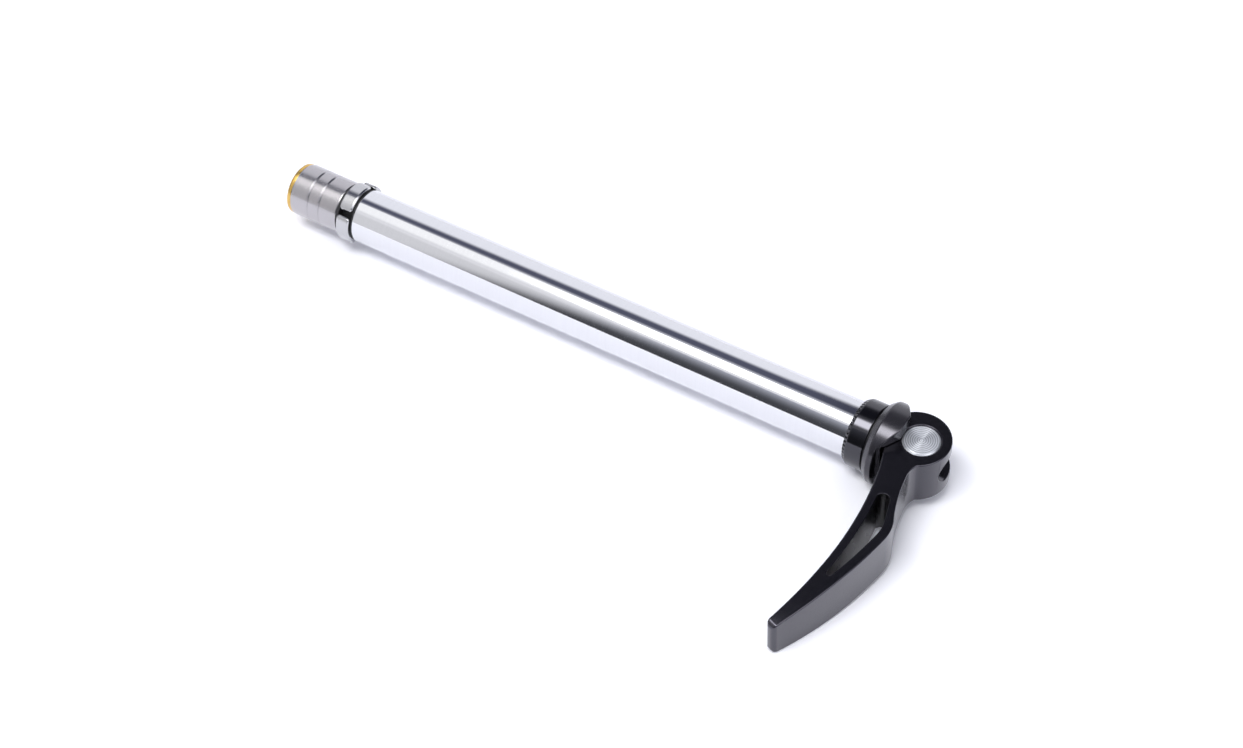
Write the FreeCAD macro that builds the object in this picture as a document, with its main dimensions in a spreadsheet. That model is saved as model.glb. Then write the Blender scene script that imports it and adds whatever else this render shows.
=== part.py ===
import FreeCAD, Part
import math
import os
import Sketcher

os.makedirs("parts", exist_ok=True)
doc = FreeCAD.newDocument("ThruAxle")
dims = doc.addObject("Spreadsheet::Sheet", "Dims")


class Size:
    """A length with the expression that gives it from the sheet."""

    def __init__(self, value, text):
        self.value = float(value)
        self.text = text

    def __add__(self, other):
        other = as_size(other)
        return Size(self.value + other.value, f"({self.text} + {other.text})")

    def __radd__(self, other):
        return as_size(other) + self

    def __sub__(self, other):
        other = as_size(other)
        return Size(self.value - other.value, f"({self.text} - {other.text})")

    def __rsub__(self, other):
        return as_size(other) - self

    def __mul__(self, other):
        other = as_size(other)
        return Size(self.value * other.value, f"({self.text} * {other.text})")

    def __rmul__(self, other):
        return as_size(other) * self

    def __truediv__(self, other):
        other = as_size(other)
        return Size(self.value / other.value, f"({self.text} / {other.text})")

    def __neg__(self):
        return Size(-self.value, f"(0 - {self.text})")


def as_size(number):
    return number if isinstance(number, Size) else Size(number, f"({number})")


def root(number):
    return Size(math.sqrt(number.value), f"sqrt({number.text})")


used_rows = []


def size(alias, value):
    """Write one driving size on the next row of the sheet."""
    used_rows.append(alias)
    cell = f"B{len(used_rows)}"
    dims.set(f"A{len(used_rows)}", alias)
    dims.set(cell, str(value))
    dims.setAlias(cell, alias)
    return Size(value, f"Dims.{alias}")


# Lie of the whole axle on a table, turned about the tube
roll = size("roll", 4.9)
segment_turn = size("segment_turn", 5)

# Clearances
running = size("running", 0.05)
slack = size("slack", 0.1)

# Tube
tube_r = size("tube_r", 7.5)
tube_bore_r = size("tube_bore_r", 5.2)
tube_reach = size("tube_reach", 151.4)
nose_r = size("nose_r", 7.0)
nose_reach = size("nose_reach", 2.6)

# Flange carrier
flange_width = size("flange_width", 5.6)
flange_wall = size("flange_wall", 0.5)
flange_back_wall = size("flange_back_wall", 0.85)
spool_r = size("spool_r", 7.35)
cavity_r = size("cavity_r", 4.55)
spigot_length = size("spigot_length", 6)
tail_length = size("tail_length", 18.4)
tail_wall = size("tail_wall", 4.5)

# Flange segments, their pins and the cam rod that moves them
segment_r = size("segment_r", 7.45)
segment_lift = size("segment_lift", 1.1)
segment_corner = size("segment_corner", 0.09)
segment_round = size("segment_round", 0.9)
segment_edge = size("segment_edge", 0.35)
stem_half = size("stem_half", 1.5)
stem_long = size("stem_long", 1.6)
fork_half = size("fork_half", 0.66)
fin_half = size("fin_half", 0.6)
fin_r = size("fin_r", 4.4)
small_pin_r = size("small_pin_r", 0.5)
small_pin_seat = size("small_pin_seat", 3.4)
press_travel = size("press_travel", 3.2)
cam_core_r = size("cam_core_r", 1.4)
cam_stem_r = size("cam_stem_r", 2)
spring_guide = size("spring_guide", 4)

# End sleeve, end ring and button
sleeve_r = size("sleeve_r", 7.3)
sleeve_length = size("sleeve_length", 15.25)
sleeve_bore_r = size("sleeve_bore_r", 5.6)
groove_depth = size("groove_depth", 0.35)
groove_one = size("groove_one", 5.95)
groove_two = size("groove_two", 9.65)
ring_r = size("ring_r", 7.2)
ring_rim = size("ring_rim", 1.35)
ring_round = size("ring_round", 0.9)
ring_seat = size("ring_seat", 1.2)
button_r = size("button_r", 4.3)
button_flange_r = size("button_flange_r", 5.2)
button_flange = size("button_flange", 1.6)
button_recess = size("button_recess", 0.5)
button_cap = size("button_cap", 1.5)

# Springs
release_r = size("release_r", 2.6)
release_wire = size("release_wire", 0.3)
release_turns = size("release_turns", 6)
seat_gap = size("seat_gap", 8)
seat_thick = size("seat_thick", 0.8)
cone_in_r = size("cone_in_r", 5.5)
cone_out_r = size("cone_out_r", 6.8)
cone_thick = size("cone_thick", 0.4)

# Draw rod and its fittings
rod_r = size("rod_r", 3)
rod_free = size("rod_free", 0.3)
nut_r = size("nut_r", 4.3)
nut_thick = size("nut_thick", 3.3)
nut_washer = size("nut_washer", 0.5)
rod_end = size("rod_end", 0.5)
rod_grip = size("rod_grip", 3.4)
bush_length = size("bush_length", 10)

# Collar and thrust ring
collar_length = size("collar_length", 5.6)
collar_r = size("collar_r", 9)
collar_lip_r = size("collar_lip_r", 8.2)
collar_bevel = size("collar_bevel", 1.1)
collar_wall = size("collar_wall", 1.2)
collar_relief = size("collar_relief", 0.5)
tooth_half = size("tooth_half", 0.24)
tooth_deep = size("tooth_deep", 0.7)
tooth_count = size("tooth_count", 48)
thrust_thick = size("thrust_thick", 0.65)
thrust_r = size("thrust_r", 8.3)
thrust_bore_r = size("thrust_bore_r", 3.6)

# Saddle washer
washer_back = size("washer_back", 6.3)
washer_back_r = size("washer_back_r", 9.8)
washer_r = size("washer_r", 11)
washer_flare = size("washer_flare", 1.6)
washer_plate = size("washer_plate", 3.1)
ear_reach = size("ear_reach", 7.0)
ear_shoulder = size("ear_shoulder", 4.6)
ear_half = size("ear_half", 6.8)
ear_root = size("ear_root", 8.4)
ear_tip_half = size("ear_tip_half", 2.6)
ear_gap = size("ear_gap", 0.25)
saddle_gap = size("saddle_gap", 0.2)
saddle_more = size("saddle_more", 2.4)

# Barrel pin and cam lever
pin_x = size("pin_x", 17.8)
pin_r = size("pin_r", 4.8)
pin_edge = size("pin_edge", 0.35)
head_half = size("head_half", 6.8)
cam_r = size("cam_r", 8.75)
cam_throw = size("cam_throw", 1.25)
heel_in = size("heel_in", 7.0)
heel_down = size("heel_down", 6.9)
heel_bend_r = size("heel_bend_r", 52)
throat_in = size("throat_in", 3.9)
throat_down = size("throat_down", 18.5)
inner_bend_r = size("inner_bend_r", 105)
blade_end = size("blade_end", 65.4)
blade_tip_in = size("blade_tip_in", 6.5)
blade_tip_out = size("blade_tip_out", 3.8)
blade_tip_slant = size("blade_tip_slant", 1.1)
blade_tip_r = size("blade_tip_r", 1.5)
outer_bend_r = size("outer_bend_r", 121)
knee_out = size("knee_out", 6.45)
knee_down = size("knee_down", 31)
knee_r = size("knee_r", 12)
knee_back = size("knee_back", 0.65)
knee_rise = size("knee_rise", 5.4)
neck_bend_r = size("neck_bend_r", 45)
neck_out = size("neck_out", 2.1)
neck_down = size("neck_down", 12.5)
neck_r = size("neck_r", 6)
brow_out = size("brow_out", 4.0)
brow_down = size("brow_down", 6.4)
rail = size("rail", 2.4)
window_top = size("window_top", 20.6)
window_top_in = size("window_top_in", 3.8)
window_top_wide = size("window_top_wide", 3.3)
window_top_r = size("window_top_r", 1.75)
window_foot = size("window_foot", 46.6)
window_foot_in = size("window_foot_in", 3.35)
window_foot_wide = size("window_foot_wide", 1.4)
window_foot_r = size("window_foot_r", 0.8)
window_slant = size("window_slant", 0.3)
window_rise = size("window_rise", 4.4)
taper_from = size("taper_from", 46)
taper_to = size("taper_to", 64.3)
taper_drop = size("taper_drop", 1.25)
taper_r = size("taper_r", 180)
nose_round = size("nose_round", 2.1)
doc.recompute()

# Stations along the axle
flange_face = -tube_reach
flange_back = flange_face - flange_width
head_half_long = (flange_width - flange_wall - flange_back_wall) / 2 - slack
segment_x = flange_face - flange_wall - slack - head_half_long
sleeve_end = flange_back - sleeve_length
tail_end = flange_face + tail_length
cavity_end = tail_end - tail_wall
fin_start = segment_x - press_travel - stem_long
fin_end = segment_x + stem_long
spring_seat_x = fin_end + seat_gap
shoulder_x = sleeve_end + ring_seat + slack / 2
saddle_x = pin_x - cam_throw - cam_r - saddle_gap


def turned(item, angle):
    """Turn a finished piece about the tube by a sheet angle."""
    spin = f"create(<<rotation>>; create(<<vector>>; 1; 0; 0); {angle.text})"
    item.setExpression("Placement", f"create(<<placement>>; create(<<vector>>; 0; 0; 0); {spin})")


def new_body(label, angle):
    body = doc.addObject("PartDesign::Body", label)
    turned(body, angle)
    return body


def new_sketch(body, role, offset=None):
    sketch = body.newObject("Sketcher::SketchObject", f"{body.Name}_outline")
    plane = next(item for item in body.Origin.OriginFeatures if item.Role == role)
    sketch.AttachmentSupport = [(plane, "")]
    sketch.MapMode = "FlatFace"
    if offset is not None:
        sketch.setExpression("AttachmentOffset.Base.z", offset.text)
    return sketch


def bind(sketch, kind, edge, end, number):
    """Hold one coordinate or radius of a sketch to its expression."""
    if end:
        rule = Sketcher.Constraint(kind, edge, end, number.value)
    else:
        rule = Sketcher.Constraint(kind, edge, number.value)
    row = sketch.addConstraint(rule)
    sketch.setExpression(f"Constraints[{row}]", number.text)


def outline(body, role, corners, offset=None):
    """Closed outline through corners (u, v) or (u, v, radius of the arc to the next corner).

    A positive radius curves to the left on the way round, a negative one to the right.
    """
    sketch = new_sketch(body, role, offset)
    corners = [tuple(as_size(number) for number in corner) for corner in corners]
    ends = []
    for here, there in zip(corners, corners[1:] + corners[:1]):
        a = FreeCAD.Vector(here[0].value, here[1].value, 0)
        b = FreeCAD.Vector(there[0].value, there[1].value, 0)
        if len(here) == 2:
            sketch.addGeometry(Part.LineSegment(a, b), False)
            ends.append((1, 2))
            continue
        radius = abs(here[2].value)
        side = math.copysign(1, here[2].value)
        chord = b - a
        left = FreeCAD.Vector(-chord.y, chord.x, 0) * (side / chord.Length)
        centre = (a + b) * 0.5 + left * math.sqrt(radius ** 2 - chord.Length ** 2 / 4)
        first, last = (a, b) if side > 0 else (b, a)
        start = math.atan2(first.y - centre.y, first.x - centre.x)
        stop = math.atan2(last.y - centre.y, last.x - centre.x)
        circle = Part.Circle(centre, FreeCAD.Vector(0, 0, 1), radius)
        sketch.addGeometry(Part.ArcOfCircle(circle, start, stop if stop > start else stop + 2 * math.pi), False)
        ends.append((1, 2) if side > 0 else (2, 1))
    count = len(corners)
    for edge in range(count):
        following = (edge + 1) % count
        sketch.addConstraint(Sketcher.Constraint("Coincident", edge, ends[edge][1], following, ends[following][0]))
    for edge, corner in enumerate(corners):
        bind(sketch, "DistanceX", edge, ends[edge][0], corner[0])
        bind(sketch, "DistanceY", edge, ends[edge][0], corner[1])
        if len(corner) == 3:
            bind(sketch, "Radius", edge, 0, corner[2] if corner[2].value > 0 else -corner[2])
    return sketch


def ring_outline(body, role, u, v, radius):
    sketch = new_sketch(body, role)
    centre = FreeCAD.Vector(as_size(u).value, as_size(v).value, 0)
    sketch.addGeometry(Part.Circle(centre, FreeCAD.Vector(0, 0, 1), radius.value), False)
    bind(sketch, "DistanceX", 0, 3, as_size(u))
    bind(sketch, "DistanceY", 0, 3, as_size(v))
    bind(sketch, "Radius", 0, 0, radius)
    return sketch


def box_corners(u_low, u_high, v_low, v_high):
    return [(u_low, v_low), (u_high, v_low), (u_high, v_high), (u_low, v_high)]


def turn_solid(body, corners):
    """Turned shape: corners are (station along the tube, radius)."""
    sketch = outline(body, "XZ_Plane", corners)
    solid = body.newObject("PartDesign::Revolution", f"{body.Name}_turned")
    solid.Profile = sketch
    solid.ReferenceAxis = (sketch, ["H_Axis"])
    solid.Angle = 360
    doc.recompute()
    return solid


def pad(body, sketch, length):
    solid = body.newObject("PartDesign::Pad", f"{body.Name}_pad")
    solid.Profile = sketch
    solid.SideType = "Symmetric"
    solid.setExpression("Length", length.text)
    doc.recompute()
    return solid


def cut(body, sketch, length):
    """Cut equally to both sides of the sketch, and make sure something came off."""
    before = body.Shape.Volume
    hole = body.newObject("PartDesign::Pocket", f"{body.Name}_cut")
    hole.Profile = sketch
    hole.SideType = "Symmetric"
    hole.setExpression("Length", length.text)
    doc.recompute()
    if hole.Shape.Volume >= before - 1e-6:
        raise ValueError(f"{hole.Name} cuts nothing")
    return hole


def round_edges(body, kind, radius, wanted):
    """Fillet or chamfer the edges of the body that the test picks out."""
    base = body.Tip
    names = [f"Edge{i + 1}" for i, edge in enumerate(base.Shape.Edges) if wanted(edge)]
    if not names:
        raise ValueError(f"{body.Name} has no such edges")
    feature = body.newObject(f"PartDesign::{kind}", f"{body.Name}_edge")
    feature.Base = (base, names)
    feature.setExpression("Radius" if kind == "Fillet" else "Size", radius.text)
    doc.recompute()
    return feature


# Axle tube: bright bored tube with a turned-down nose that carries the collar
axle_tube = new_body("axle_tube", roll)
turn_solid(axle_tube, [
    (flange_face, tube_bore_r),
    (nose_reach, tube_bore_r),
    (nose_reach, nose_r),
    (0, nose_r),
    (0, tube_r),
    (flange_face, tube_r),
])

# Flange carrier: black spool pressed into the tube, hollow, with a window for each segment's stem
carrier_turn = roll + segment_turn
flange_carrier = new_body("flange_carrier", carrier_turn)
turn_solid(flange_carrier, [
    (cavity_end, rod_r + running),
    (tail_end, rod_r + running),
    (tail_end, tube_bore_r),
    (flange_face, tube_bore_r),
    (flange_face, spool_r),
    (flange_face - flange_wall, spool_r),
    (flange_face - flange_wall, tube_bore_r),
    (flange_back + flange_back_wall, tube_bore_r),
    (flange_back + flange_back_wall, spool_r),
    (flange_back, spool_r),
    (flange_back, tube_bore_r),
    (flange_back - spigot_length, tube_bore_r),
    (flange_back - spigot_length, cavity_r),
    (cavity_end, cavity_r),
])
window = box_corners(
    segment_x - stem_long - slack,
    segment_x + stem_long + slack,
    -stem_half - running,
    stem_half + running,
)
cut(flange_carrier, outline(flange_carrier, "XY_Plane", window), tube_r * 2)
cut(flange_carrier, outline(flange_carrier, "XZ_Plane", window), tube_r * 2)

# End sleeve: grey turned sleeve on the carrier's spigot, with two fine grooves
end_sleeve = new_body("end_sleeve", roll)
turn_solid(end_sleeve, [
    (sleeve_end, sleeve_bore_r),
    (flange_back - spigot_length - running, sleeve_bore_r),
    (flange_back - spigot_length - running, tube_bore_r),
    (flange_back, tube_bore_r),
    (flange_back, sleeve_r),
    (flange_back - groove_one + groove_depth, sleeve_r),
    (flange_back - groove_one, sleeve_r - groove_depth),
    (flange_back - groove_one - groove_depth, sleeve_r),
    (flange_back - groove_two + groove_depth, sleeve_r),
    (flange_back - groove_two, sleeve_r - groove_depth),
    (flange_back - groove_two - groove_depth, sleeve_r),
    (sleeve_end, sleeve_r),
])

# End ring: gold rim pressed into the sleeve, which keeps the button in
end_ring = new_body("end_ring", roll)
turn_solid(end_ring, [
    (sleeve_end - ring_rim, button_r + running),
    (sleeve_end + ring_seat, button_r + running),
    (sleeve_end + ring_seat, sleeve_bore_r),
    (sleeve_end, sleeve_bore_r),
    (sleeve_end, ring_r),
    (sleeve_end - ring_rim + ring_round, ring_r, ring_round),
    (sleeve_end - ring_rim, ring_r - ring_round),
])

# Push button: slides in the end ring, stopped by its flange
push_button = new_body("push_button", roll)
button_face = sleeve_end - ring_rim + button_recess
turn_solid(push_button, [
    (button_face, 0),
    (button_face + button_cap, 0),
    (button_face + button_cap, cam_stem_r),
    (shoulder_x + button_flange, cam_stem_r),
    (shoulder_x + button_flange, button_flange_r),
    (shoulder_x, button_flange_r),
    (shoulder_x, button_r),
    (button_face, button_r),
])

# Cam rod: stem fixed in the button, with crossed fins whose slanted slots carry the segments' pins
cam_rod = new_body("cam_rod", carrier_turn)
turn_solid(cam_rod, [
    (button_face + button_cap, 0),
    (fin_end + spring_guide, 0),
    (fin_end + spring_guide, cam_core_r),
    (fin_start, cam_core_r),
    (fin_start, cam_stem_r),
    (button_face + button_cap, cam_stem_r),
])
fins = box_corners(fin_start, fin_end, -fin_r, fin_r)
pad(cam_rod, outline(cam_rod, "XZ_Plane", fins), fin_half * 2)
pad(cam_rod, outline(cam_rod, "XY_Plane", fins), fin_half * 2)
slot_half = small_pin_r + running
slot_long = root(press_travel * press_travel + segment_lift * segment_lift)
slot_u = press_travel / slot_long * slot_half
slot_v = segment_lift / slot_long * slot_half
slot_back_x = segment_x - press_travel
slot_back_v = small_pin_seat - segment_lift
slot_up = [
    (slot_back_x + slot_v, slot_back_v - slot_u),
    (segment_x + slot_v, small_pin_seat - slot_u, slot_half),
    (segment_x + slot_u, small_pin_seat + slot_v, slot_half),
    (segment_x - slot_v, small_pin_seat + slot_u),
    (slot_back_x - slot_v, slot_back_v + slot_u, slot_half),
    (slot_back_x - slot_u, slot_back_v - slot_v, slot_half),
]
slot_down = [(c[0], -c[1]) + tuple(-r for r in c[2:]) for c in slot_up]
for role in ("XZ_Plane", "XY_Plane"):
    for slot in (slot_up, slot_down):
        cut(cam_rod, outline(cam_rod, role, slot), fin_half * 2 + slack)

# Flange segments: four ring pieces with a forked stem, lifted off the tube's size by the cam rod
head_low_r = tube_bore_r + slack
out_u = (root(2 * segment_r * segment_r - segment_corner * segment_corner) - segment_corner) / 2
low_u = (root(2 * head_low_r * head_low_r - segment_corner * segment_corner) - segment_corner) / 2
out_v = out_u + segment_corner + segment_lift
low_v = low_u + segment_corner + segment_lift
head_back = segment_x - head_half_long


def upright(edge):
    """Straight corner edges of the head, where its sides meet its end faces."""
    low, high = (vertex.Point for vertex in (edge.Vertexes[0], edge.Vertexes[-1]))
    return abs(low.x - high.x) < 1e-4 and edge.Curve.TypeId == "Part::GeomLine"


def back_rim(edge):
    """Outer curved edge of the head on the sleeve's side."""
    is_arc = edge.Curve.TypeId == "Part::GeomCircle" and abs(edge.Curve.Radius - segment_r.value) < 1e-4
    return is_arc and abs(edge.CenterOfMass.x - head_back.value) < 1e-3


segments = []
for number in range(4):
    angle = carrier_turn + 90 * number
    segment = new_body(f"flange_segment_{number + 1}", angle)
    head = [(-low_u, low_v, -head_low_r), (low_u, low_v), (out_u, out_v, segment_r), (-out_u, out_v)]
    pad(segment, outline(segment, "YZ_Plane", head, segment_x), head_half_long * 2)
    round_edges(segment, "Fillet", segment_round, upright)
    round_edges(segment, "Chamfer", segment_edge, back_rim)
    stem = box_corners(-stem_half, stem_half, small_pin_seat - small_pin_r * 1.5, head_low_r + segment_lift + slack * 4)
    pad(segment, outline(segment, "YZ_Plane", stem, segment_x), stem_long * 2)
    fork = box_corners(-fork_half, fork_half, small_pin_r, fin_r + segment_lift + slack)
    cut(segment, outline(segment, "YZ_Plane", fork, segment_x), stem_long * 2 + slack)
    cut(segment, ring_outline(segment, "XZ_Plane", segment_x, small_pin_seat, small_pin_r), stem_half * 2 + slack)
    pin = new_body(f"segment_pin_{number + 1}", angle)
    pad(pin, ring_outline(pin, "XZ_Plane", segment_x, small_pin_seat, small_pin_r), stem_half * 2)
    segments += [segment, pin]


def coil(label, start, length, radius, wire, turns):
    """Wire spring along the tube's line, just inside its two seats."""
    helix = doc.addObject("Part::Helix", f"{label}_line")
    free = length - (wire + slack / 4) * 2
    helix.setExpression("Pitch", (free / turns).text)
    helix.setExpression("Height", free.text)
    helix.setExpression("Radius", radius.text)
    section = doc.addObject("Part::Circle", f"{label}_wire")
    section.setExpression("Radius", wire.text)
    spin = "create(<<rotation>>; create(<<vector>>; 1; 0; 0); 90)"
    place = f"create(<<placement>>; create(<<vector>>; {radius.text}; 0; 0); {spin})"
    section.setExpression("Placement", place)
    spring = doc.addObject("Part::Sweep", label)
    spring.Sections = [section]
    spring.Spine = (helix, ["Edge1"])
    spring.Solid = True
    spring.Frenet = True
    begin = start + wire + slack / 4
    spin = "create(<<rotation>>; create(<<vector>>; 0; 1; 0); 90)"
    place = f"create(<<placement>>; create(<<vector>>; {begin.text}; 0; 0); {spin})"
    spring.setExpression("Placement", place)
    doc.recompute()
    return spring


# Release spring and its seat: the spring bears on the seat and pushes the cam rod back out
release_spring = coil("release_spring", fin_end, seat_gap, release_r, release_wire, release_turns)
spring_seat = new_body("spring_seat", roll)
turn_solid(spring_seat, [
    (spring_seat_x, cam_core_r),
    (spring_seat_x + seat_thick, cam_core_r),
    (spring_seat_x + seat_thick, cavity_r),
    (spring_seat_x, cavity_r),
])

# Draw rod with its nut and washer: held in the carrier's tail wall, free to swivel
nut_face = cavity_end - running - nut_washer
rod_start = nut_face - nut_thick - rod_end
draw_rod = new_body("draw_rod", roll)
turn_solid(draw_rod, [
    (rod_start, 0),
    (pin_x + rod_grip, 0),
    (pin_x + rod_grip, rod_r),
    (rod_start, rod_r),
])
rod_nut = new_body("rod_nut", roll)
turn_solid(rod_nut, box_corners(nut_face - nut_thick, nut_face, rod_r, nut_r))
rod_washer = new_body("rod_washer", roll)
turn_solid(rod_washer, box_corners(nut_face, nut_face + nut_washer, rod_r, nut_r))

# Rod bush: pressed into the tube's lever end to centre the rod
rod_bush = new_body("rod_bush", roll)
turn_solid(rod_bush, box_corners(nose_reach - bush_length, nose_reach, rod_r + running, tube_bore_r))

# Shoulder collar: black cup that slides on the tube's nose, its clamping edge finely notched
shoulder_collar = new_body("shoulder_collar", roll)
collar_bore_r = nose_r + running
turn_solid(shoulder_collar, [
    (0, tube_r + running),
    (collar_relief, tube_r + running),
    (collar_relief, collar_bore_r),
    (collar_length - collar_wall, collar_bore_r),
    (collar_length - collar_wall, rod_r + rod_free),
    (collar_length, rod_r + rod_free),
    (collar_length, collar_r - slack * 2),
    (collar_length - slack * 2, collar_r),
    (collar_bevel, collar_r),
    (0, collar_lip_r),
])
notch = box_corners(-tooth_half, tooth_half, collar_lip_r + slack, collar_r + slack)
first_notch = cut(shoulder_collar, outline(shoulder_collar, "YZ_Plane", notch), tooth_deep * 2)
notches = shoulder_collar.newObject("PartDesign::PolarPattern", "shoulder_collar_notches")
notches.Originals = [first_notch]
notches.Axis = (next(f for f in shoulder_collar.Origin.OriginFeatures if f.Role == "X_Axis"), [""])
notches.Angle = 360
notches.setExpression("Occurrences", tooth_count.text)
shoulder_collar.Tip = notches
doc.recompute()

# Thrust ring: thin black ring between collar and washer
thrust_ring = new_body("thrust_ring", roll)
turn_solid(thrust_ring, box_corners(collar_length, collar_length + thrust_thick, thrust_bore_r, thrust_r))

# Collar spring: cone spring inside the collar, between the tube's nose and the collar's wall
collar_spring = new_body("collar_spring", roll)
cone_start = nose_reach + slack / 4
cone_stop = collar_length - collar_wall - slack / 4
turn_solid(collar_spring, [
    (cone_start, cone_in_r),
    (cone_start + cone_thick, cone_in_r),
    (cone_stop, cone_out_r),
    (cone_stop - cone_thick, cone_out_r),
])

# Saddle washer: flared disc with a hollow for the cam and an ear over and under the lever's head
saddle_washer = new_body("saddle_washer", roll)
plate_face = washer_back + washer_plate
nose = washer_back + ear_reach
turn_solid(saddle_washer, [
    (washer_back, rod_r + rod_free),
    (nose + 1, rod_r + rod_free),
    (nose + 1, washer_r),
    (washer_back + washer_flare, washer_r),
    (washer_back, washer_back_r),
])
past = washer_r + 1
cut(saddle_washer, outline(saddle_washer, "XY_Plane", [
    (plate_face, -past),
    (nose + 2, -past),
    (nose + 2, past),
    (plate_face, past),
    (plate_face, ear_root),
    (washer_back + ear_shoulder, ear_half),
    (nose, ear_tip_half),
    (nose, -ear_tip_half),
    (washer_back + ear_shoulder, -ear_half),
    (plate_face, -ear_root),
]), washer_r * 2 + 1)
saddle_r = cam_r + saddle_more
cut(
    saddle_washer,
    ring_outline(saddle_washer, "XY_Plane", saddle_x + saddle_r, 0, saddle_r),
    (head_half + ear_gap) * 2,
)

# Barrel pin: cross pin in the lever's head, drilled for the rod
barrel_pin = new_body("barrel_pin", roll)
pad(barrel_pin, ring_outline(barrel_pin, "XY_Plane", pin_x, 0, pin_r), head_half * 2)
round_edges(barrel_pin, "Chamfer", pin_edge, lambda edge: edge.Curve.TypeId == "Part::GeomCircle")
drill = outline(barrel_pin, "XZ_Plane", box_corners(pin_x - pin_r * 2, pin_x + rod_grip, 0, rod_r))
bored = barrel_pin.newObject("PartDesign::Groove", "barrel_pin_bore")
bored.Profile = drill
bored.ReferenceAxis = (drill, ["H_Axis"])
bored.Angle = 360
doc.recompute()

# Cam lever: off-centre head, narrow neck, bent blade with a long three-sided window
cam_lever = new_body("cam_lever", roll)
pad(cam_lever, ring_outline(cam_lever, "XY_Plane", pin_x - cam_throw, 0, cam_r), head_half * 2)
arm = [
    (pin_x - heel_in, -heel_down, -heel_bend_r),
    (pin_x - throat_in, -throat_down, -inner_bend_r),
    (pin_x - blade_tip_in, blade_tip_slant - blade_end, blade_tip_r),
    (pin_x - blade_tip_out, -blade_end, outer_bend_r),
    (pin_x + knee_out, -knee_down, knee_r),
    (pin_x + knee_out - knee_back, knee_rise - knee_down, -neck_bend_r),
    (pin_x + neck_out, -neck_down, -neck_r),
    (pin_x + brow_out, -brow_down),
    (pin_x - cam_throw, 0),
]
pad(cam_lever, outline(cam_lever, "XY_Plane", arm), head_half * 2)
cut(cam_lever, ring_outline(cam_lever, "XY_Plane", pin_x, 0, pin_r + running), head_half * 3)
window_left = pin_x - window_foot_in + rail
light = [
    (pin_x - window_top_in + rail, -window_top, -(inner_bend_r + rail)),
    (window_left, -window_foot, window_foot_r),
    (window_left + window_foot_wide, -window_foot - window_slant * 2, outer_bend_r - rail),
    (pin_x + knee_out - rail, -knee_down, knee_r - rail),
    (pin_x + knee_out - rail - window_slant, window_rise - knee_down),
    (pin_x - window_top_in + rail + window_top_wide, window_slant - window_top, window_top_r),
]
cut(cam_lever, outline(cam_lever, "XY_Plane", light), head_half * 3)

# The blade thins towards its tip, and its nose is rounded over
far = taper_to + nose_round * 2
nose_v = head_half - taper_drop - nose_round
top_taper = [
    (-taper_from, head_half),
    (-taper_from, head_half * 2),
    (-far, head_half * 2),
    (-far, nose_v),
    (-taper_to - nose_round, nose_v, -nose_round * 1.01),
    (-taper_to, head_half - taper_drop, -taper_r),
]
low_taper = [(c[0], -c[1]) + tuple(-r for r in c[2:]) for c in top_taper]
for taper in (top_taper, low_taper):
    cut(cam_lever, outline(cam_lever, "YZ_Plane", taper), pin_x * 4)

slot_half = rod_r + rod_free
swing = [
    (0, -slot_half),
    (cam_r * 2, -slot_half),
    (cam_r * 2, slot_half),
    (0, slot_half, slot_half),
    (-slot_half, 0, slot_half),
]
cut(cam_lever, outline(cam_lever, "YZ_Plane", swing), pin_x * 4)

pieces = [
    axle_tube, flange_carrier, end_sleeve, end_ring, push_button, cam_rod, release_spring, spring_seat,
    draw_rod, rod_nut, rod_washer, rod_bush, shoulder_collar, thrust_ring, collar_spring, saddle_washer,
    barrel_pin, cam_lever,
] + segments
for item in doc.Objects:
    if "Invalid" in item.State or "Error" in item.State:
        raise ValueError(f"{item.Name} did not build")
for piece in pieces:
    if piece.Shape.isNull() or not piece.Shape.isValid() or len(piece.Shape.Solids) != 1:
        raise ValueError(f"{piece.Name} is not one sound solid")
    piece.Shape.exportStep(f"parts/{piece.Label}.step")
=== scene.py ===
import math
import bmesh
import bpy
import numpy as np
from mathutils import Matrix, Vector


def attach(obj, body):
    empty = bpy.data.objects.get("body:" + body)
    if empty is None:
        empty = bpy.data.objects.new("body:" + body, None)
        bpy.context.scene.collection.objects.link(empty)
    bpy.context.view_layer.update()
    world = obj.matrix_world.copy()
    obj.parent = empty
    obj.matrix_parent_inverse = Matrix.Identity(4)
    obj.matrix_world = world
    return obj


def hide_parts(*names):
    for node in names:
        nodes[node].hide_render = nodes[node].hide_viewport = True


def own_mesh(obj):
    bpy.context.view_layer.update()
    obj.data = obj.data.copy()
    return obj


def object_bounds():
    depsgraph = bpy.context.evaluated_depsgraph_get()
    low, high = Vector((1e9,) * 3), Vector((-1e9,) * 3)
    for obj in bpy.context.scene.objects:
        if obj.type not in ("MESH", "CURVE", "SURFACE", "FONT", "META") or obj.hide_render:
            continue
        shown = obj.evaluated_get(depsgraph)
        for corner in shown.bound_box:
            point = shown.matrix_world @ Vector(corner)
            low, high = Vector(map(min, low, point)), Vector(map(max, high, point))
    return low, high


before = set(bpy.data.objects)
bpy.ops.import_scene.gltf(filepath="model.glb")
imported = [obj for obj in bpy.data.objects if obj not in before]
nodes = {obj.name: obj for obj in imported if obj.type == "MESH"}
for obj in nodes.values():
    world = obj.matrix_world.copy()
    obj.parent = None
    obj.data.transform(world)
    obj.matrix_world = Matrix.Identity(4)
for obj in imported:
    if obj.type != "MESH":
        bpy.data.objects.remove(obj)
cad_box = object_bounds()

# Axle tube
# A hollow steel tube, ground round and chromed, that the hub and the fork's ends slide over.
# Its edges are broken by a fine bevel, and its nose is turned down to carry the collar.
MM = 0.001


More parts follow.
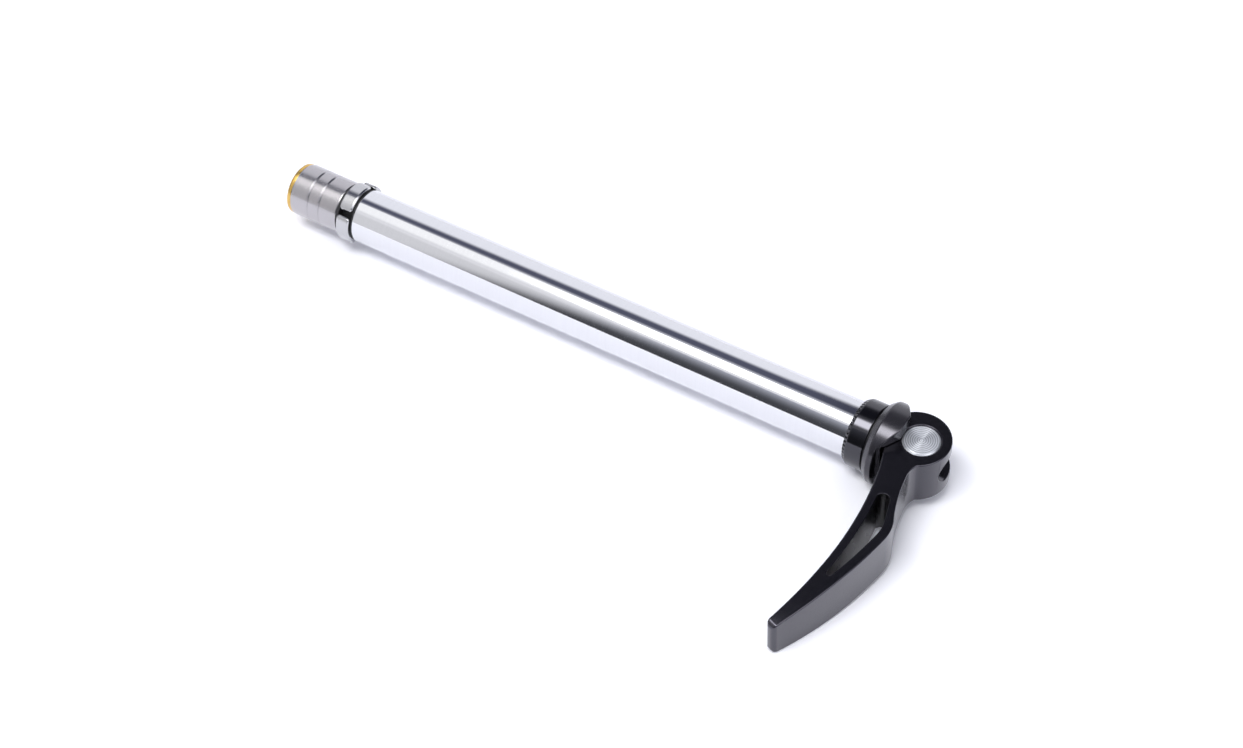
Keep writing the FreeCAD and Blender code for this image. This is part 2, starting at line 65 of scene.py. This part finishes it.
def soften(corners, cut, steps=6):
    """Closed outline with its corners rounded.

    Each corner gives a run of points on the parabola that leaves one side, and joins the next,
    at the distance cut from the corner, but no further than a set share of the shorter side.
    A point just beyond each end of the run keeps the sides flat.
    """
    longest_share, beyond = 0.42, 0.15
    corner = np.asarray(corners, float)
    before = np.roll(corner, 1, axis=0) - corner
    after = np.roll(corner, -1, axis=0) - corner
    before_length, after_length = np.hypot(*before.T), np.hypot(*after.T)
    cut = np.broadcast_to(np.asarray(cut, float), (len(corner),))
    reach = np.minimum(cut, longest_share * np.minimum(before_length, after_length))[:, None]
    a = corner + before / before_length[:, None] * reach
    b = corner + after / after_length[:, None] * reach
    t = np.linspace(0, 1, steps)[None, :, None]
    bend = (1 - t) ** 2 * a[:, None] + 2 * t * (1 - t) * corner[:, None] + t ** 2 * b[:, None]
    lead = (a + (a - corner) * beyond)[:, None]
    trail = (b + (b - corner) * beyond)[:, None]
    return np.concatenate([lead, bend, trail], axis=1).reshape(-1, 2)


def add_piece(name, points, faces, material, body, slot):
    """One smooth mesh from an array of points in metres and an array of faces, all turned outwards."""
    mesh = bpy.data.meshes.new(name)
    mesh.from_pydata(points.tolist(), [], [list(face) for face in faces])
    shell = bmesh.new()
    shell.from_mesh(mesh)
    bmesh.ops.recalc_face_normals(shell, faces=shell.faces)
    shell.to_mesh(mesh)
    shell.free()
    mesh.polygons.foreach_set("use_smooth", np.ones(len(mesh.polygons), bool))
    mesh.materials.append(material)
    piece = bpy.data.objects.new(name, mesh)
    bpy.context.scene.collection.objects.link(piece)
    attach(piece, body)
    return piece


def lathe(outline, turns=192):
    """Turned surface: every outline point (station, radius), in millimetres, goes round the tube's line
    in equal steps."""
    count = len(outline)
    angle = np.linspace(0, 2 * np.pi, turns, endpoint=False)[:, None]
    x = np.broadcast_to(outline[:, 0], (turns, count))
    points = np.stack([x, outline[:, 1] * np.cos(angle), outline[:, 1] * np.sin(angle)], axis=-1)
    return points.reshape(-1, 3) * MM, ring_faces(turns, count)


def ring_faces(rows, columns):
    """Four-cornered faces of a grid that is closed both ways."""
    row = np.arange(rows)[:, None]
    column = np.arange(columns)[None, :]
    this_row = row * columns
    next_row = (row + 1) % rows * columns
    next_column = (column + 1) % columns
    corners = [this_row + column, this_row + next_column, next_row + next_column, next_row + column]
    return np.stack(np.broadcast_arrays(*corners), axis=-1).reshape(-1, 4)


def new_finish(name, colour, metallic, roughness):
    """A material with its main values on the shader, and its nodes ready for detail."""
    material = bpy.data.materials.new(name)
    material.use_nodes = True
    shader = material.node_tree.nodes["Principled BSDF"]
    shader.inputs["Base Color"].default_value = (*colour, 1)
    shader.inputs["Metallic"].default_value = metallic
    shader.inputs["Roughness"].default_value = roughness
    return material, material.node_tree, shader


def roughen(tree, shader, pattern, low, high, depth):
    """Let a pattern move the roughness from low to high and raise a bump of that depth in metres."""
    spread = tree.nodes.new("ShaderNodeMapRange")
    spread.inputs["To Min"].default_value = low
    spread.inputs["To Max"].default_value = high
    bump = tree.nodes.new("ShaderNodeBump")
    bump.inputs["Strength"].default_value = 1
    bump.inputs["Distance"].default_value = depth
    tree.links.new(pattern.outputs["Fac"], spread.inputs["Value"])
    tree.links.new(spread.outputs["Result"], shader.inputs["Roughness"])
    tree.links.new(pattern.outputs["Fac"], bump.inputs["Height"])
    tree.links.new(bump.outputs["Normal"], shader.inputs["Normal"])


def grain(tree, shader, stretch, detail, low, high, depth):
    """Fine surface grain: noise of a thousand cells to the metre, times the stretch along each axis,
    that moves the roughness from low to high and raises a bump of that depth."""
    place = tree.nodes.new("ShaderNodeTexCoord")
    mapping = tree.nodes.new("ShaderNodeMapping")
    mapping.inputs["Scale"].default_value = stretch
    noise = tree.nodes.new("ShaderNodeTexNoise")
    noise.inputs["Scale"].default_value = 1000
    noise.inputs["Detail"].default_value = detail
    tree.links.new(place.outputs["Object"], mapping.inputs["Vector"])
    tree.links.new(mapping.outputs["Vector"], noise.inputs["Vector"])
    roughen(tree, shader, noise, low, high, depth)
    return noise


def shade(tree, shader, pattern, dark, light):
    """Let a pattern also shift the colour a little between two tones."""
    mix = tree.nodes.new("ShaderNodeMix")
    mix.data_type = "RGBA"
    mix.inputs["A"].default_value = (*dark, 1)
    mix.inputs["B"].default_value = (*light, 1)
    tree.links.new(pattern.outputs["Fac"], mix.inputs["Factor"])
    tree.links.new(mix.outputs["Result"], shader.inputs["Base Color"])


tube_finish, tree, shader = new_finish("ground chrome", (0.71, 0.715, 0.74), metallic=1.0, roughness=0.07)
tube_noise = grain(tree, shader, stretch=(1.6, 0.05, 0.05), detail=3, low=0.05, high=0.10, depth=0.4e-6)
shade(tree, shader, tube_noise, dark=(0.69, 0.695, 0.72), light=(0.74, 0.745, 0.765))
flange_end, nose_end = -151.4, 2.6
tube_bore, nose_out, tube_out = 5.2, 7.0, 7.5
tube_outline = soften(
    [
        (flange_end, tube_bore), (nose_end, tube_bore), (nose_end, nose_out),
        (0, nose_out), (0, tube_out), (flange_end, tube_out),
    ],
    cut=[0.2, 0.2, 0.25, 0.05, 0.2, 0.25],
)
tube = add_piece("tube_shell", *lathe(tube_outline), tube_finish, "axle", "tube")
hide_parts("axle_tube")

# Flange carrier and thrust ring
# Black moulded inserts: the spool that holds the flange's segments, and the thin ring behind the washer.
# They show as dark lines beside the bright pieces.
insert_finish, tree, shader = new_finish("black insert", (0.012, 0.012, 0.014), metallic=0.0, roughness=0.5)
grain(tree, shader, stretch=(0.8, 0.8, 0.8), detail=4, low=0.42, high=0.6, depth=4e-6)
nodes["flange_carrier"].data.materials[0] = insert_finish
nodes["thrust_ring"].data.materials[0] = insert_finish

# Flange segments
# Four polished steel ring pieces with rounded corners and a bevelled back edge, held in the spool.
# They stand proud of the tube until the button draws them in.
segment_finish, tree, shader = new_finish("polished steel", (0.52, 0.52, 0.53), metallic=1.0, roughness=0.16)
grain(tree, shader, stretch=(0.4, 0.4, 0.4), detail=5, low=0.12, high=0.2, depth=0.6e-6)
FOUR = range(1, 5)
SHARP = math.radians(30)
stem_back, stem_radius, stem_trim = -0.1556, 0.006, 0.00005


def merged_copy(node, name, material, body, slot, shape=None):
    """A copy of a solid's mesh with its corners merged and its flat faces joined, and then changed by the
    function shape."""
    weld, flat = 0.000002, math.radians(0.5)
    shell = bmesh.new()
    shell.from_mesh(nodes[node].data)
    bmesh.ops.remove_doubles(shell, verts=shell.verts, dist=weld)
    bmesh.ops.dissolve_limit(shell, angle_limit=flat, verts=shell.verts, edges=shell.edges)
    if shape:
        shape(shell)
    shell.verts.index_update()
    points = np.array([corner.co for corner in shell.verts])
    faces = [[corner.index for corner in face.verts] for face in shell.faces]
    shell.free()
    piece = add_piece(name, points, faces, material, body, slot)
    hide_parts(node)
    return piece


def ease_edges(piece, width, steps=3):
    """Round a piece's sharp edges to that width in metres."""
    bevel = piece.modifiers.new("edges", "BEVEL")
    bevel.width = width
    bevel.segments = steps
    bevel.limit_method = "ANGLE"
    bevel.angle_limit = SHARP
    bevel.harden_normals = True
    bevel.use_clamp_overlap = False
    bevel.loop_slide = False


def trim_stem(shell):
    """Take a hair off the back of a segment's stem, so that it clears the cam rod's shoulder when the
    button is in."""
    for corner in shell.verts:
        if corner.co.x < stem_back and math.hypot(corner.co.y, corner.co.z) < stem_radius:
            corner.co.x += stem_trim


for number in FOUR:
    segment = merged_copy(
        f"flange_segment_{number}", f"segment_{number}_polished", segment_finish,
        f"segment_{number}", "segment", trim_stem,
    )
    ease_edges(segment, width=0.00008)

# End sleeve
# A grey anodised sleeve, finely turned, pressed on the spool, with two narrow grooves.
sleeve_finish, tree, shader = new_finish(
    "grey anodised, turned", (0.47, 0.455, 0.47), metallic=1.0, roughness=0.24
)
sleeve_noise = grain(tree, shader, stretch=(9.0, 0.02, 0.02), detail=4, low=0.2, high=0.3, depth=1.5e-6)
shade(tree, shader, sleeve_noise, dark=(0.42, 0.406, 0.42), light=(0.52, 0.505, 0.515))
sleeve_near, seat_near, sleeve_far = -157.0, -163.05, -172.25
sleeve_bore, seat_bore, sleeve_out = 5.2, 5.6, 7.3
groove_half, groove_floor = 0.3, 6.98
grooves = [
    point
    for middle in (-162.95, -166.65)
    for point in (
        (middle + groove_half, sleeve_out), (middle, groove_floor), (middle - groove_half, sleeve_out)
    )
]
sleeve_outline = soften(
    [
        (sleeve_far, seat_bore), (seat_near, seat_bore), (seat_near, sleeve_bore),
        (sleeve_near, sleeve_bore), (sleeve_near, sleeve_out), *grooves, (sleeve_far, sleeve_out),
    ],
    cut=[0.1, 0.1, 0.1, 0.1, 0.35, 0.06, 0.08, 0.06, 0.06, 0.08, 0.06, 0.2],
)
sleeve = add_piece("sleeve_turned", *lathe(sleeve_outline), sleeve_finish, "axle", "sleeve")
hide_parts("end_sleeve")

# End ring and push button
# A gold anodised rim pressed into the sleeve, and the grey button that slides in it.
# Pressing the button draws the flange's segments in.
ring_finish, tree, shader = new_finish("gold anodised", (0.68, 0.45, 0.13), metallic=1.0, roughness=0.22)
ring_noise = grain(tree, shader, stretch=(6.0, 0.05, 0.05), detail=4, low=0.17, high=0.3, depth=2e-6)
shade(tree, shader, ring_noise, dark=(0.64, 0.41, 0.11), light=(0.73, 0.5, 0.17))
rim_far, rim_near = -173.6, -171.05
rim_bore, rim_out = 4.35, 7.2
ring_outline = soften(
    [
        (rim_far, rim_bore), (rim_near, rim_bore), (rim_near, seat_bore),
        (sleeve_far, seat_bore), (sleeve_far, rim_out), (rim_far, rim_out),
    ],
    cut=[0.2, 0.1, 0.1, 0.05, 0.12, 0.8],
)
ring = add_piece("ring_rim", *lathe(ring_outline), ring_finish, "axle", "ring")
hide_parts("end_ring")
button_finish, tree, shader = new_finish(
    "grey anodised button", (0.36, 0.35, 0.37), metallic=1.0, roughness=0.3
)
grain(tree, shader, stretch=(0.6, 0.6, 0.6), detail=4, low=0.24, high=0.38, depth=2e-6)
button = merged_copy("push_button", "button_cap", button_finish, "button", "button")
ease_edges(button, width=0.0003)

# Inner pieces
# The turned steel cam rod, pins, draw rod, nut and seats, the springs and the brass bush in the tube.
# They show only where a hole or a moved lever lets them be seen.
steel_finish, tree, shader = new_finish("turned steel", (0.52, 0.52, 0.54), metallic=1.0, roughness=0.3)
grain(tree, shader, stretch=(4.0, 0.1, 0.1), detail=4, low=0.24, high=0.38, depth=2e-6)
segment_pins = [f"segment_pin_{number}" for number in FOUR]
for name in ["cam_rod", "spring_seat", "draw_rod", "rod_nut", "rod_washer"] + segment_pins:
    nodes[name].data.materials[0] = steel_finish
spring_finish, tree, shader = new_finish("spring wire", (0.42, 0.42, 0.45), metallic=1.0, roughness=0.32)
grain(tree, shader, stretch=(1.0, 1.0, 1.0), detail=3, low=0.26, high=0.4, depth=2e-6)
nodes["collar_spring"].data.materials[0] = spring_finish
coil = merged_copy("release_spring", "release_coil", spring_finish, "axle", "spring")
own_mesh(coil)
bush_finish, tree, shader = new_finish("turned brass", (0.72, 0.52, 0.2), metallic=1.0, roughness=0.3)
grain(tree, shader, stretch=(4.0, 0.1, 0.1), detail=4, low=0.24, high=0.38, depth=2e-6)
nodes["rod_bush"].data.materials[0] = bush_finish

# Shoulder collar
# A black anodised cup, polished, that slides on the tube's nose.
# Its bevelled clamping edge is cut with fine notches that bite the fork.
collar_finish, tree, shader = new_finish("gloss black", (0.002, 0.002, 0.0025), metallic=0.0, roughness=0.1)
shader.inputs["IOR"].default_value = 1.7
shader.inputs["Specular Tint"].default_value = (0.9, 0.89, 1, 1)
grain(tree, shader, stretch=(2.0, 0.2, 0.2), detail=3, low=0.06, high=0.12, depth=0.4e-6)


def notched(outline, turns, teeth, deep, low, drop):
    """Turned surface with notches: where the outline lies nearer than deep to its face and above the
    radius low, a step in the cosine of the angle lowers it by up to drop, once a tooth.
    The notch fades out over a short run along the tube and a short rise above low."""
    notch_from, flank = 0.15, 0.5
    fade_run, fade_rise = 0.15, 0.2
    points, faces = lathe(outline, turns)
    grid = points.reshape(turns, len(outline), 3)
    angle = np.linspace(0, 2 * np.pi, turns, endpoint=False)
    station, radius = outline.T
    swing = np.clip((np.cos(angle * teeth) - notch_from) / flank, 0, 1)[:, None]
    near = np.clip((deep - station) / fade_run, 0, 1) * np.clip((radius - low) / fade_rise, 0, 1)
    lowered = radius - swing * near * np.minimum(drop, np.maximum(radius - low, 0))
    grid[:, :, 1] = lowered * np.cos(angle)[:, None] * MM
    grid[:, :, 2] = lowered * np.sin(angle)[:, None] * MM
    return grid.reshape(-1, 3), faces


# The outline runs in through the bore to the rod's hole, then back over the outside and the bevel.
collar_outline = soften(
    [
        (0, 7.55), (0.5, 7.55), (0.5, 7.05), (4.4, 7.05), (4.4, 3.3), (5.6, 3.3), (5.6, 9.0),
        (1.1, 9.0), (0.72, 8.72), (0.7, 8.70), (0.35, 8.45), (0, 8.2),
    ],
    cut=[0.05, 0.05, 0.05, 0.2, 0.1, 0.1, 0.25, 0.3, 0.02, 0.02, 0.05, 0.06],
)
collar_surface = notched(collar_outline, turns=960, teeth=48, deep=0.95, low=7.8, drop=0.8)
collar = add_piece("collar_cup", *collar_surface, collar_finish, "collar", "collar")
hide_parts("shoulder_collar")

# Saddle washer
# A dark moulded washer, flared towards the lever, with a hollow for the cam.
# Two ears reach over and under the lever's head.
washer_finish, tree, shader = new_finish(
    "dark moulded plastic", (0.02, 0.02, 0.022), metallic=0.0, roughness=0.36
)
shader.inputs["IOR"].default_value = 1.62
shader.inputs["Specular Tint"].default_value = (0.92, 0.9, 1, 1)
washer_noise = grain(tree, shader, stretch=(1.5, 1.5, 1.5), detail=4, low=0.17, high=0.22, depth=1e-6)
shade(tree, shader, washer_noise, dark=(0.015, 0.0144, 0.0175), light=(0.019, 0.0182, 0.022))
washer = merged_copy("saddle_washer", "washer_moulded", washer_finish, "washer", "washer")
ease_edges(washer, width=0.00028)

# Barrel pin
# A steel cross pin, turned across its end faces.
# The lever swings on it and the rod is screwed into it.
pin_finish, tree, shader = new_finish("turned pin steel", (0.66, 0.68, 0.72), metallic=0.65, roughness=0.32)
shader.inputs["Anisotropic"].default_value = 0.9
shader.inputs["Anisotropic Rotation"].default_value = 0.25
round_pin = tree.nodes.new("ShaderNodeTangent")
round_pin.direction_type = "RADIAL"
round_pin.axis = "Z"
tree.links.new(round_pin.outputs["Tangent"], shader.inputs["Tangent"])
pin_x, top_face_y = 0.0178, -0.00058
place = tree.nodes.new("ShaderNodeTexCoord")
centre = tree.nodes.new("ShaderNodeMapping")
centre.inputs["Location"].default_value = (-pin_x, -top_face_y, 0)
rings = tree.nodes.new("ShaderNodeTexWave")
rings.wave_type = "RINGS"
rings.rings_direction = "Z"
rings.inputs["Scale"].default_value = 560
rings.inputs["Distortion"].default_value = 0.4
rings.inputs["Detail"].default_value = 3
rings.inputs["Detail Scale"].default_value = 3
tree.links.new(place.outputs["Object"], centre.inputs["Vector"])
tree.links.new(centre.outputs["Vector"], rings.inputs["Vector"])
roughen(tree, shader, rings, low=0.26, high=0.38, depth=3e-6)
shade(tree, shader, rings, dark=(0.6, 0.62, 0.66), light=(0.66, 0.68, 0.72))
pin = merged_copy("barrel_pin", "pin_turned", pin_finish, "rod", "pin")
ease_edges(pin, width=0.00008)

# Cam lever
# A forged and machined aluminium lever, black anodised, with an off-centre head, a narrow neck and a
# bent blade. Its edges are broken, and a long three-sided window lightens the blade; its walls carry painted
# shade, a less glossy, less reflective copy of the lever's finish that keeps them dark.
anodised = (0.002, 0.0019, 0.0024)
anodised_dark, anodised_light = (0.0016, 0.0015, 0.0019), (0.0026, 0.0024, 0.003)
lever_finish, tree, shader = new_finish("black anodised", anodised, metallic=0.0, roughness=0.2)
shader.inputs["IOR"].default_value = 1.66
shader.inputs["Specular Tint"].default_value = (0.84, 0.81, 1, 1)
shader.inputs["Coat Weight"].default_value = 0.3
shader.inputs["Coat Roughness"].default_value = 0.2
lever_noise = grain(tree, shader, stretch=(0.7, 0.7, 0.7), detail=6, low=0.16, high=0.25, depth=1.2e-6)
shade(tree, shader, lever_noise, anodised_dark, anodised_light)
# Painted shade for the window's walls: the lever's colours with less gloss, a lower IOR and no coat, so that
# they reflect less and stay dark.
window_shade_finish, tree, shader = new_finish("anodised, painted shade in the window", anodised, metallic=0.0, roughness=0.28)
shader.inputs["IOR"].default_value = 1.53
window_noise = grain(tree, shader, stretch=(0.7, 0.7, 0.7), detail=3, low=0.26, high=0.3, depth=0.4e-6)
shade(tree, shader, window_noise, anodised_dark, anodised_light)
# The part lies rolled a little about the tube, and tip_out points along the blade's end.
lie = Matrix.Rotation(math.radians(4.9), 3, "X")
tip_out = lie @ Vector((-0.336, -0.942, 0))
nose_cut, nose_draw, nose_share, nose_from = 0.0555, 0.0026, 0.93, 0.0575
window_middle, window_reach = lie @ Vector((0.0193, -0.033, 0)), 0.016
nose_round, edge_round, window_round = 1, 0.27, 0.1


def blunt_nose(shell):
    """Cut the blade square near its tip and draw it out again, a little narrower, so that its end can be
    rounded."""
    whole = shell.verts[:] + shell.edges[:] + shell.faces[:]
    cut = bmesh.ops.bisect_plane(
        shell, geom=whole, plane_co=tip_out * nose_cut, plane_no=tip_out, clear_outer=True
    )
    rim = [part for part in cut["geom_cut"] if isinstance(part, bmesh.types.BMEdge)]
    cap = bmesh.ops.edgeloop_fill(shell, edges=rim)["faces"]
    middle = cap[0].calc_center_median()
    grown = bmesh.ops.extrude_face_region(shell, geom=cap)["geom"]
    bmesh.ops.delete(shell, geom=cap, context="FACES_ONLY")
    for corner in [part for part in grown if isinstance(part, bmesh.types.BMVert)]:
        corner.co = middle + (corner.co - middle) * nose_share + tip_out * nose_draw


lever = merged_copy("cam_lever", "lever_anodised", lever_finish, "lever", "lever", blunt_nose)
ease_edges(lever, width=0.0013, steps=5)
lever.data.materials.append(window_shade_finish)
shell = bmesh.new()
shell.from_mesh(lever.data)
# The upright faces inside the window take the second finish, the painted shade.
for face in shell.faces:
    inward = window_middle - face.calc_center_median()
    upright = abs(face.normal.dot(lie.col[2])) < 0.5
    in_window = inward.length < window_reach and face.normal.dot(inward) > 0
    face.material_index = int(upright and in_window)
share = shell.edges.layers.float.new("bevel_weight_edge")
for edge in shell.edges:
    if min(corner.co.dot(tip_out) for corner in edge.verts) > nose_from:
        edge[share] = nose_round
    elif edge.calc_face_angle() > SHARP:
        on_window = any(face.material_index for face in edge.link_faces)
        edge[share] = window_round if on_window else edge_round
shell.to_mesh(lever.data)
shell.free()
lever.modifiers["edges"].limit_method = "WEIGHT"

# Table
# A pale seamless sheet under the part, bright enough to read as white.
# It keeps the part's soft shadow.
floor_z, half = cad_box[0][2], 4
floor_corners = [
    (-half, -half, floor_z), (half, -half, floor_z), (half, half, floor_z), (-half, half, floor_z)
]
floor_mesh = bpy.data.meshes.new("table_sheet")
floor_mesh.from_pydata(floor_corners, [], [(0, 1, 2, 3)])
floor_finish = bpy.data.materials.new("pale sheet")
floor_finish.use_nodes = True
tree = floor_finish.node_tree
shader = tree.nodes["Principled BSDF"]
shader.inputs["Roughness"].default_value = 0.9
shader.inputs["Specular IOR Level"].default_value = 0


def background_rays(tree):
    """The largest of Light Path's three values for rays from the camera, from glossy metal and through
    clear pieces."""
    rays = tree.nodes.new("ShaderNodeLightPath")
    seen = tree.nodes.new("ShaderNodeMath")
    seen.operation = "MAXIMUM"
    also = tree.nodes.new("ShaderNodeMath")
    also.operation = "MAXIMUM"
    tree.links.new(rays.outputs["Is Camera Ray"], seen.inputs[0])
    tree.links.new(rays.outputs["Is Glossy Ray"], seen.inputs[1])
    tree.links.new(seen.outputs["Value"], also.inputs[0])
    tree.links.new(rays.outputs["Is Transmission Ray"], also.inputs[1])
    return also.outputs["Value"]


seen = background_rays(tree)
paper = tree.nodes.new("ShaderNodeMix")
paper.data_type = "RGBA"
paper.inputs["A"].default_value = (0.82, 0.825, 0.85, 1)
paper.inputs["B"].default_value = (1.03, 1.035, 1.09, 1)
tree.links.new(seen, paper.inputs["Factor"])
tree.links.new(paper.outputs["Result"], shader.inputs["Base Color"])
# Far from the part the sheet glows, so that it stays white beyond the lamp's reach.
spot = tree.nodes.new("ShaderNodeTexCoord")
reach = tree.nodes.new("ShaderNodeVectorMath")
reach.operation = "LENGTH"
outer = tree.nodes.new("ShaderNodeMapRange")
outer.inputs["From Min"].default_value = 0.5
outer.inputs["From Max"].default_value = 1.6
glow = tree.nodes.new("ShaderNodeMath")
glow.operation = "MULTIPLY"
tree.links.new(spot.outputs["Object"], reach.inputs[0])
tree.links.new(reach.outputs["Value"], outer.inputs["Value"])
tree.links.new(outer.outputs["Result"], glow.inputs[0])
tree.links.new(seen, glow.inputs[1])
tree.links.new(glow.outputs["Value"], shader.inputs["Emission Strength"])
floor_mesh.materials.append(floor_finish)
floor = bpy.data.objects.new("table_sheet", floor_mesh)
bpy.context.scene.collection.objects.link(floor)

# Studio light
# A pale room and a soft lamp overhead, which throws the shadow.
# A bent white panel and two darker cards, seen only in reflections, give the chrome its bands.
world = bpy.data.worlds.new("pale room")
bpy.context.scene.world = world
world.use_nodes = True
tree = world.node_tree
level = tree.nodes.new("ShaderNodeMapRange")
level.inputs["To Min"].default_value = 0.68
level.inputs["To Max"].default_value = 1
tree.links.new(background_rays(tree), level.inputs["Value"])
tree.links.new(level.outputs["Result"], tree.nodes["Background"].inputs["Strength"])
tree.nodes["Background"].inputs["Color"].default_value = (0.93, 0.94, 1, 1)


def ease(value, low, high):
    """Smooth step from 0 at low to 1 at high: three times the square less twice the cube."""
    t = np.clip((value - low) / (high - low), 0, 1)
    return t * t * (3 - 2 * t)


def card(name, low_angle, high_angle, tone):
    """A sheet bent round the tube's line at one distance: rows run along the tube, and angles in degrees
    go from the back over the top. The tone is a function of station and angle that gives the sheet's glow,
    which fades far beyond the flange and grows beyond the lever."""
    distance, x_from, x_to = 1.2, -2.5, 2.0
    across = np.linspace(x_from, x_to, 120)
    angle = np.linspace(low_angle, high_angle, 60)
    x, turn = np.meshgrid(across, angle)
    points = np.stack([x, distance * np.cos(np.radians(turn)), distance * np.sin(np.radians(turn))], axis=-1)
    index = np.arange(points.shape[0] * points.shape[1]).reshape(points.shape[:2])
    faces = np.stack([index[:-1, :-1], index[:-1, 1:], index[1:, 1:], index[1:, :-1]], axis=-1)
    mesh = bpy.data.meshes.new(name)
    mesh.from_pydata(points.reshape(-1, 3).tolist(), [], faces.reshape(-1, 4).tolist())
    far = (0.15 + 0.85 * ease(x, -1.5, -1.05) + 1.2 * ease(x, 0.1, 0.5))[..., None]
    colour = np.concatenate([tone(x, turn) * far, np.ones((*x.shape, 1))], axis=-1)
    mesh.color_attributes.new("tone", "FLOAT_COLOR", "POINT").data.foreach_set("color", colour.ravel())
    material = bpy.data.materials.new(name)
    material.use_nodes = True
    tree = material.node_tree
    tree.nodes.remove(tree.nodes["Principled BSDF"])
    painted = tree.nodes.new("ShaderNodeAttribute")
    painted.attribute_name = "tone"
    light = tree.nodes.new("ShaderNodeEmission")
    tree.links.new(painted.outputs["Color"], light.inputs["Color"])
    tree.links.new(light.outputs["Emission"], tree.nodes["Material Output"].inputs["Surface"])
    mesh.materials.append(material)
    sheet = bpy.data.objects.new(name, mesh)
    bpy.context.scene.collection.objects.link(sheet)
    sheet.visible_camera = False
    sheet.visible_diffuse = False
    sheet.visible_shadow = False


def back_tone(x, turn):
    """Slate in the middle, fading to the pale room below and to the panel above; its lower edge sinks
    towards the lever, where the slate also deepens."""
    pale, slate = np.array([1.05, 1.06, 1.14]), np.array([0.107, 0.113, 0.167])
    low = 67 - 35 * (x + 0.79) - 12 * ease(x, -0.42, -0.33)
    high = 88 - 9 * (x + 0.75)
    dark = (ease(turn, low - 9, low + 8) * (1 - ease(turn, high - 7, high + 11)))[..., None]
    deep = (1 - 0.6 * ease(x, -0.40, -0.32))[..., None]
    return pale * (1 - dark) + slate * (deep * dark)


def panel_tone(x, turn):
    """A white panel, greyer at its front edge, with a bright soft band on it that begins beyond the
    flange."""
    white, grey, bright = np.array([1.24, 1.24, 1.26]), np.array([0.95, 0.95, 0.99]), 10
    edge = ease(turn, 116, 130)[..., None]
    along = ease(x, -0.64, -0.44) * (1 - ease(x, -0.25, 0.1))
    band = (bright * along * ease(turn, 91, 99) * (1 - ease(turn, 113, 122)))[..., None]
    return white * (1 - edge) + grey * edge + band


def front_tone(x, turn):
    """Grey beyond the flange; on the lever's side it deepens towards the table, along a slanting edge."""
    pale, slate = np.array([1.0, 1.0, 1.04]), np.array([0.97, 1.0, 1.15])
    dark = ease(x + 0.655 - 0.003 * (168 - turn), -0.085, 0.075)[..., None]
    deep = (0.074 + 0.43 * (np.clip(170 - turn, 0, 45) / 40) ** 2)[..., None]
    grey = (0.845 + 0.167 * (1 - ease(turn, 130, 142)))[..., None]
    return pale * (grey * (1 - dark)) + slate * (deep * dark)


card("back_card", 0, 91, back_tone)
card("panel", 91, 130, panel_tone)
card("front_card", 130, 180.4, front_tone)
lamp = bpy.data.lights.new("overhead", "AREA")
lamp.shape = "RECTANGLE"
lamp.size = 0.55
lamp.size_y = 0.3
lamp.energy = 7.8
lamp_x, lamp_distance, lamp_turn = -0.07, 1.1, math.radians(117)
lamp_object = bpy.data.objects.new("overhead", lamp)
lamp_object.matrix_world = (
    Matrix.Translation((lamp_x, lamp_distance * math.cos(lamp_turn), lamp_distance * math.sin(lamp_turn)))
    @ Matrix.Rotation(lamp_turn - math.pi / 2, 4, "X")
)
lamp_object.visible_glossy = False
bpy.context.scene.collection.objects.link(lamp_object)

# Camera
# Above and in front of the lever end, looking down along the axle, with a short telephoto lens.
# Its focal length was fitted in pixels of the photo's width.
heading, lift, tilt = math.radians(31.497), math.radians(45.029), math.radians(0.559)
eye = (0.176226, -0.400944, 0.453432)
focal_pixels, width_pixels, sensor_width = 2500, 1243, 36
back = np.array([math.sin(heading) * math.cos(lift), -math.cos(heading) * math.cos(lift), math.sin(lift)])
level_right = np.array([math.cos(heading), math.sin(heading), 0])
level_up = np.cross(back, level_right)
right = math.cos(tilt) * level_right + math.sin(tilt) * level_up
up = np.cross(back, right)
stand = Matrix.Identity(4)
for row in range(3):
    stand[row] = (right[row], up[row], back[row], eye[row])
lens = bpy.data.cameras.new("view")
lens.sensor_fit = "HORIZONTAL"
lens.sensor_width = sensor_width
lens.lens = focal_pixels / width_pixels * sensor_width
lens.clip_start = 0.01
viewer = bpy.data.objects.new("view", lens)
viewer.matrix_world = stand
bpy.context.scene.collection.objects.link(viewer)
bpy.context.scene.camera = viewer
bpy.context.scene.view_settings.view_transform = "Standard"
